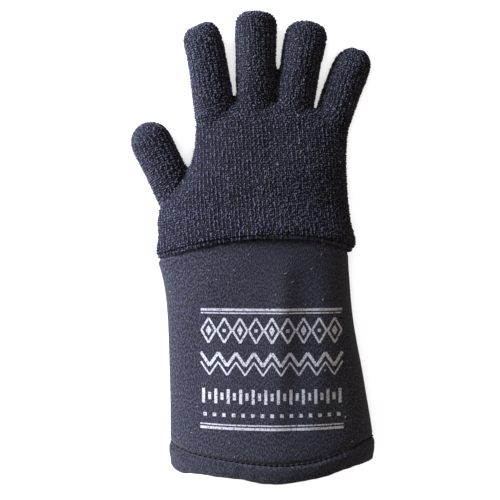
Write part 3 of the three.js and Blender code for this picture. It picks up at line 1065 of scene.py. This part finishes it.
def canvas_material(name, color, heather, weave):
    """Napped canvas: a plain weave, mottled both finely and broadly, with a few pale flecks."""
    made, tree, shader = material(name, color, roughness=0.92, sheen=0.22)
    place = add(tree, "ShaderNodeUVMap", uv_map="cloth").outputs["UV"]
    turned = {"Vector": place, "Scale": (1.0, 0.6, 1.0), "Rotation": (0, 0, 0.5)}
    stretched = add(tree, "ShaderNodeMapping", turned).outputs["Vector"]
    fine = mottling(tree, heather, stretched, *CANVAS_NAP)
    broad = mottling(tree, heather, place, *CANVAS_CLOUDS)
    held = add(tree, "ShaderNodeClamp", {"Value": fine, "Min": 0.05, "Max": 4.0}).outputs[0]
    both = maths(tree, "MULTIPLY", held, broad)
    dyed = blend(tree, 1.0, (*color, 1), both, blend_type="MULTIPLY")
    specks = mottling(tree, heather, stretched, *CANVAS_FLECKS)
    few = {"Value": specks, "From Min": 1.1, "From Max": 1.2, "To Max": 0.55}
    bright = add(tree, "ShaderNodeMapRange", few).outputs[0]
    tree.links.new(blend(tree, bright, dyed, FLECK), shader.inputs["Base Color"])
    threads = add(tree, "ShaderNodeGroup", {"Vector": place}, node_tree=weave).outputs[0]
    raised = {"Height": threads, "Strength": 0.35, "Distance": 0.25 * MM}
    woven = add(tree, "ShaderNodeBump", raised).outputs["Normal"]
    brushed = {"Height": held, "Strength": 0.6, "Distance": 0.12 * MM, "Normal": woven}
    nap = add(tree, "ShaderNodeBump", brushed).outputs["Normal"]
    tree.links.new(nap, shader.inputs["Normal"])
    return made


def thread_material(name, color, heather, roughness=0.8, sheen=0.1, fibres=THREAD_FIBRES):
    """Plain thread of one colour, mottled by its fibres."""
    made, tree, shader = material(name, color, roughness, sheen)
    place = add(tree, "ShaderNodeTexCoord")
    fine = mottling(tree, heather, place.outputs["Object"], *fibres)
    shown = blend(tree, 1.0, (*color, 1), fine, blend_type="MULTIPLY")
    tree.links.new(shown, shader.inputs["Base Color"])
    return made


def ink_material(heather):
    """Pale ink, worn off the high threads so that the dark cloth shows through it."""
    made, tree, shader = material("print_ink", INK[:3], roughness=0.75)
    place = add(tree, "ShaderNodeTexCoord")
    fine = mottling(tree, heather, place.outputs["Object"], *INK_WEAR)
    worn = add(tree, "ShaderNodeMapRange", {"Value": fine, "From Min": 0.55, "From Max": 0.95})
    tree.links.new(blend(tree, worn.outputs[0], INK_WORN, INK), shader.inputs["Base Color"])
    return made


# Floor, light and camera

CAMERA_PLACE = (-4.82 * MM, 0, 0.7)
LENS = 61.39
FLOOR_SIZE = 60
FILL_LIGHT = {"Color": (1.0, 0.88, 0.8, 1), "Strength": 0.25}
BACKDROP = {"Color": (1.0, 1.0, 1.0, 1), "Strength": 1.0}


def stage():
    """The floor, and a world that is white to the camera and a weak warm light to all else."""
    bpy.ops.object.select_all(action="DESELECT")
    bpy.ops.mesh.primitive_plane_add(size=FLOOR_SIZE, location=(0, 0, -0.2 * MM))
    floor = bpy.context.object
    floor.name = "floor"
    floor.data.materials.append(material("pale_floor", PALE_FLOOR, roughness=0.9)[0])
    floor.visible_diffuse = False
    floor.visible_glossy = False
    floor_only = bpy.data.collections.new("floor_only")
    floor_only.objects.link(floor)
    world = bpy.data.worlds.new("studio")
    world.use_nodes = True
    tree = world.node_tree
    fill = tree.nodes["Background"]
    for key, value in FILL_LIGHT.items():
        fill.inputs[key].default_value = value
    backdrop = add(tree, "ShaderNodeBackground", BACKDROP)
    path = add(tree, "ShaderNodeLightPath")
    either = {"Fac": path.outputs["Is Camera Ray"], 1: fill.outputs[0], 2: backdrop.outputs[0]}
    shown = add(tree, "ShaderNodeMixShader", either)
    tree.links.new(shown.outputs[0], tree.nodes["World Output"].inputs["Surface"])
    bpy.context.scene.world = world
    return floor_only


def key_light():
    """The soft light at the upper left that shapes the glove."""
    data = bpy.data.lights.new("key", "AREA")
    data.size = 0.6
    data.energy = 58
    data.color = (0.74, 0.8, 1.0)
    lamp = bpy.data.objects.new("key", data)
    lamp.location = (-1.2, 0.6, 0.37)
    target = Vector((-0.02, -0.02, 0.02))
    lamp.rotation_euler = (target - lamp.location).to_track_quat("-Z", "Y").to_euler()
    bpy.context.scene.collection.objects.link(lamp)


def floor_wash(name, floor_only, energy, shadowless):
    """Even soft light from above on the floor alone, so that it stays pale out to the horizon.
    Shadowless, it also reaches the floor in the gaps between the fingers."""
    data = bpy.data.lights.new(name, "SUN")
    data.energy = energy
    data.angle = math.radians(55)
    lamp = bpy.data.objects.new(name, data)
    bpy.context.scene.collection.objects.link(lamp)
    lamp.light_linking.receiver_collection = floor_only
    if shadowless:
        lamp.light_linking.blocker_collection = floor_only


def camera():
    """The photo's view, straight down."""
    bpy.context.scene.view_settings.view_transform = "Standard"
    data = bpy.data.cameras.new("camera")
    data.sensor_width = 36.0
    data.lens = LENS
    seen = bpy.data.objects.new("camera", data)
    seen.location = CAMERA_PLACE
    bpy.context.scene.collection.objects.link(seen)
    bpy.context.scene.camera = seen


def main():
    """Builds the stage, the knit, the cuff with its hem, and the trims on them."""
    camera()
    floor_only = stage()
    key_light()
    floor_wash("floor_wash", floor_only, energy=1.4, shadowless=False)
    floor_wash("gap_wash", floor_only, energy=2.0, shadowless=True)
    heather = heather_group()
    ground = knit_ground()
    tree = tree_of(ground)
    edge = knit_edge()
    palm = palm_sites(tree, edge)
    palm += rim_sites(palm, edge)
    digits = [site for name in DIGITS for site in digit_sites(tree, name)]
    pile = []
    for part, sites, seed in (("palm", palm, 11), ("digits", digits, 13)):
        back = [site for site in sites if site[1][2] >= 0]
        under = [site for site in sites if site[1][2] < 0]
        pile.append(loops(f"loops_{part}_back", tree, back, seed))
        pile.append(loops(f"loops_{part}_under", tree, under, seed + 1))
    yarn = yarn_material(heather)
    for piece in pile:
        piece.data.materials.append(yarn)
        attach(piece, "root")
    # The ground is coloured near-black as painted shade between the loops.
    matt = {"roughness": 0.97, "sheen": 0.03, "fibres": GROUND_FIBRES}
    ground.data.materials.append(thread_material("knit_ground_painted_shade", GROUND_YARN_PAINTED_SHADE, heather, **matt))
    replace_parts(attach(ground, "root"), "knit_hand")
    weave = weave_group()
    ring = seam_ring()
    cloth = canvas_material("cuff_canvas", CUFF_CLOTH, heather, weave)
    sleeve = cuff(ring, edge)
    sleeve.data.materials.append(cloth)
    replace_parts(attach(sleeve, "root"), "cuff")
    band = hem(ring)
    hem_cloth = canvas_material("hem_canvas", HEM_CLOTH, heather, weave)
    band.data.materials.append(hem_cloth)
    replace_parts(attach(band, "root"), "cuff_hem")
    on_cuff = tree_of(sleeve)
    # Black for the stitch thread, and also painted shade for the seam's folded edges and the cord at
    # the knit's edge.
    black = thread_material("black_thread_and_painted_shade", BLACK_THREAD_AND_PAINTED_SHADE, heather)
    trims = [
        (hem_stitches(ring), black, "thread"),
        # The folded edges take the black thread colour as painted shade in the seam's groove.
        (hem_filler(ring), black, "hem_cloth"),
        # The binding cord is black as painted shade of the gap under the knit's edge.
        (edge_cord(on_cuff, edge), black, "thread"),
        (printed_ornament(on_cuff), ink_material(heather), "print_ink"),
        (lint([on_cuff, tree], 31), thread_material("pale_lint", PALE_LINT, heather), "thread"),
    ]
    for piece, look, slot in trims:
        piece.data.materials.append(look)
        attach(piece, "root")


main()
